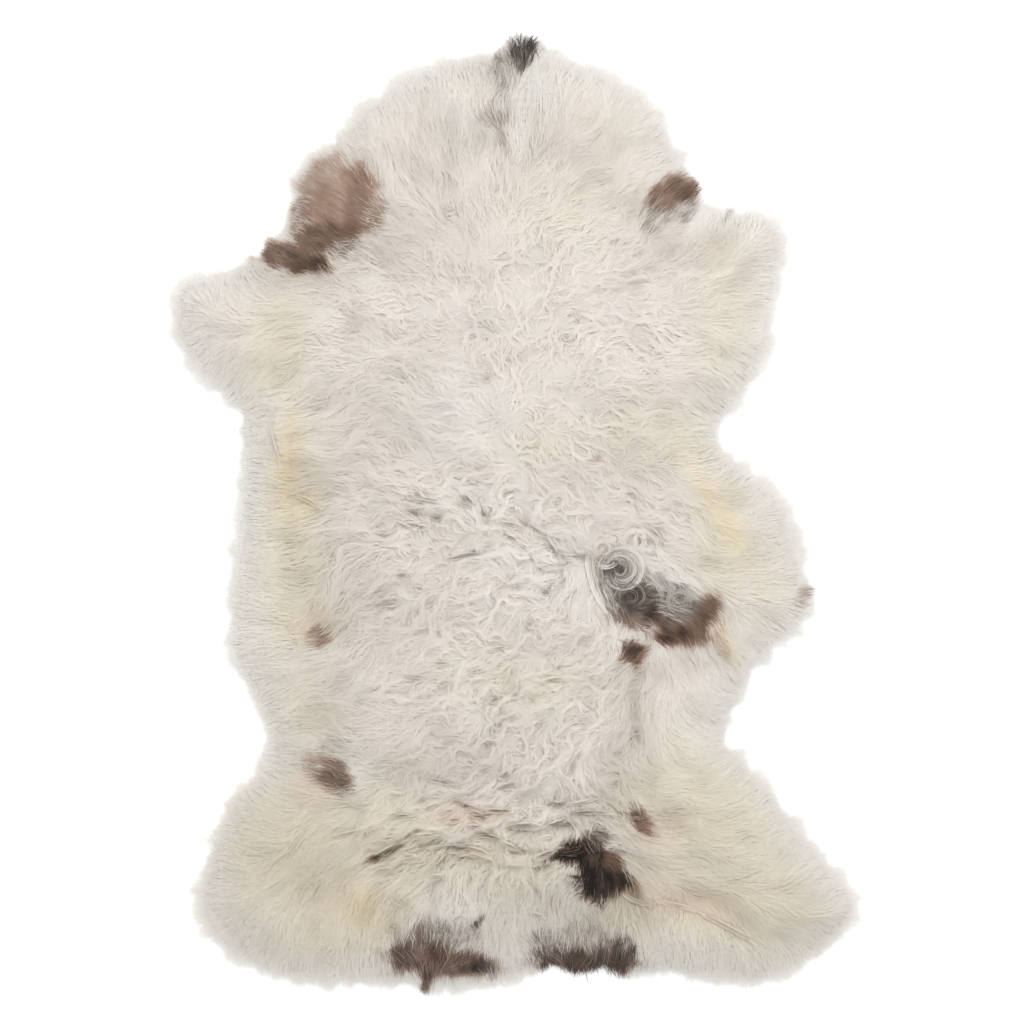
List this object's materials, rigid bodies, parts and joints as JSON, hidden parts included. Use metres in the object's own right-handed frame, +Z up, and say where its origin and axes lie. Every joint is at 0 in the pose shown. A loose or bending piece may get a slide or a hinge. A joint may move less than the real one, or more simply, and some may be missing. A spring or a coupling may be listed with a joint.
{
  "type": "sheepskin rug",
  "caption": "Natural hide-shaped sheepskin rug that lies flat, with deep curly wool along the back and longer soft locks round the rim.",
  "frame": {"origin": "centre of the rug's footprint, on the surface that the rug lies on", "axes": "+Z up out of the wool, +Y along the back towards the neck, +X to the right seen from above with the neck away from the viewer"},
  "size_m": [0.6902, 0.9546, 0.0525],
  "materials": {
    "wool": "matt natural cream wool with dark brown patches"
  },
  "bodies": {
    "root": {"sheepskin": "wool"}
  },
  "joints": []
}
